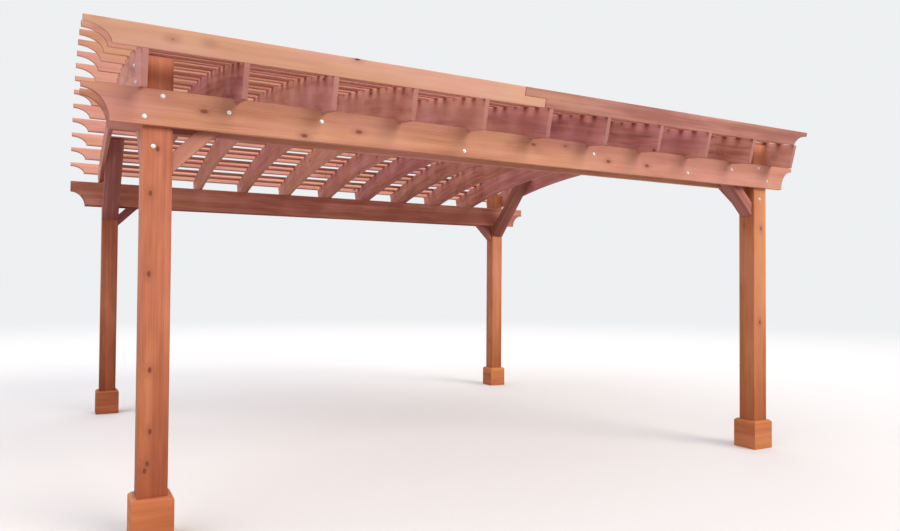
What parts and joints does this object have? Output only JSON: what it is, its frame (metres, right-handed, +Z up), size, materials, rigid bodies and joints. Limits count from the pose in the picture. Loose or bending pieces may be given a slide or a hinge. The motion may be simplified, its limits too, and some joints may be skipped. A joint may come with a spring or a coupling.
{
  "type": "pergola",
  "caption": "Wooden garden pergola: square posts carry doubled beams with hollow-cut ends, braced at 45 degrees, and arched rafters under an open slatted roof.",
  "frame": {"origin": "on the ground under the middle of the pergola's plan", "axes": "+Z up, X along the two beams, Y across the beams from the front row of posts to the rear row"},
  "size_m": [6.7, 6.019, 3.603],
  "materials": {
    "post_timber": "planed softwood with an oiled, slightly glossy warm red-brown stain",
    "base_board": "planed softwood board, oiled",
    "beam_plank": "planed softwood plank, oiled warm red-brown",
    "rafter_plank": "planed softwood plank, oiled warm red-brown",
    "purlin_plank": "planed softwood plank, oiled warm red-brown",
    "slat_strip": "thin planed softwood strip, oiled",
    "brace_timber": "planed softwood brace, oiled warm red-brown"
  },
  "bodies": {
    "root": {"post_front_left": "post_timber", "post_base_front_left": "base_board", "beam_brace_front_left": "brace_timber", "rafter_brace_front_left": "brace_timber", "post_front_right": "post_timber", "post_base_front_right": "base_board", "beam_brace_front_right": "brace_timber", "rafter_brace_front_right": "brace_timber", "post_rear_left": "post_timber", "post_base_rear_left": "base_board", "beam_brace_rear_left": "brace_timber", "rafter_brace_rear_left": "brace_timber", "post_rear_right": "post_timber", "post_base_rear_right": "base_board", "beam_brace_rear_right": "brace_timber", "rafter_brace_rear_right": "brace_timber", "beam_front_outer": "beam_plank", "beam_front_inner": "beam_plank", "beam_rear_inner": "beam_plank", "beam_rear_outer": "beam_plank", "rafter_01": "rafter_plank", "rafter_02": "rafter_plank", "rafter_03": "rafter_plank", "rafter_04": "rafter_plank", "rafter_05": "rafter_plank", "rafter_06": "rafter_plank", "rafter_07": "rafter_plank", "rafter_08": "rafter_plank", "rafter_09": "rafter_plank", "rafter_10": "rafter_plank", "rafter_11": "rafter_plank", "purlin_01": "purlin_plank", "purlin_02": "purlin_plank", "purlin_03": "purlin_plank", "purlin_04": "purlin_plank", "purlin_05": "purlin_plank", "purlin_06": "purlin_plank", "purlin_07": "purlin_plank", "purlin_08": "purlin_plank", "purlin_09": "purlin_plank", "purlin_10": "purlin_plank", "purlin_11": "purlin_plank", "purlin_12": "purlin_plank", "purlin_13": "purlin_plank", "slats_front": "slat_strip", "slats_mid_front": "slat_strip", "slats_mid_rear": "slat_strip", "slats_rear": "slat_strip"}
  },
  "joints": []
}
